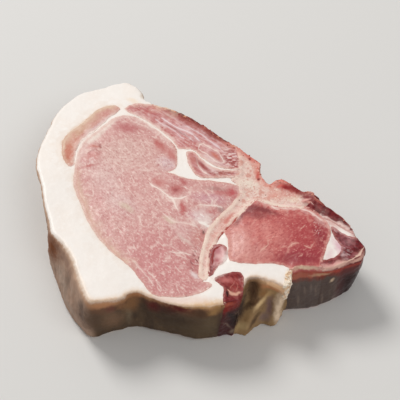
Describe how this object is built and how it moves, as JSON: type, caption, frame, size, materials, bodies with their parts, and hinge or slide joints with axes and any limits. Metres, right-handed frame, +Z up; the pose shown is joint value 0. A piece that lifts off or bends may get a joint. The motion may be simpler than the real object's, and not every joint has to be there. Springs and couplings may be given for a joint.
{
  "type": "pork chop",
  "caption": "Raw pork loin chop on the bone: a thick slab lying flat, with a T-shaped bone between a broad pale loin muscle and a small red tenderloin, rimmed with a wide band of white fat.",
  "frame": {"origin": "under the middle of the chop's bounding box, on the plane of the face it lies on", "axes": "+Z up through the thickness, out of the upper cut face; +X from the back fat to the tip of the tenderloin; +Y from the belly end to the end over the spine"},
  "size_m": [0.1544, 0.1409, 0.0291],
  "materials": {
    "fat": "satin",
    "bone": "satin",
    "loin_lean": "satin",
    "spine_lean": "satin",
    "cap_lean": "satin",
    "tenderloin_lean": "satin",
    "dark_lean": "satin"
  },
  "bodies": {
    "root": {"back_fat": "fat", "loin_eye": "loin_lean", "t_bone": "bone", "tenderloin": "tenderloin_lean", "chine_muscle": "spine_lean", "crescent_muscle": "spine_lean", "cap_muscle": "cap_lean", "edge_muscle": "dark_lean", "tip_muscle": "dark_lean", "tip_fat": "fat", "rib_muscle": "dark_lean", "flank_muscle": "dark_lean", "flank_fat": "fat"}
  },
  "joints": []
}
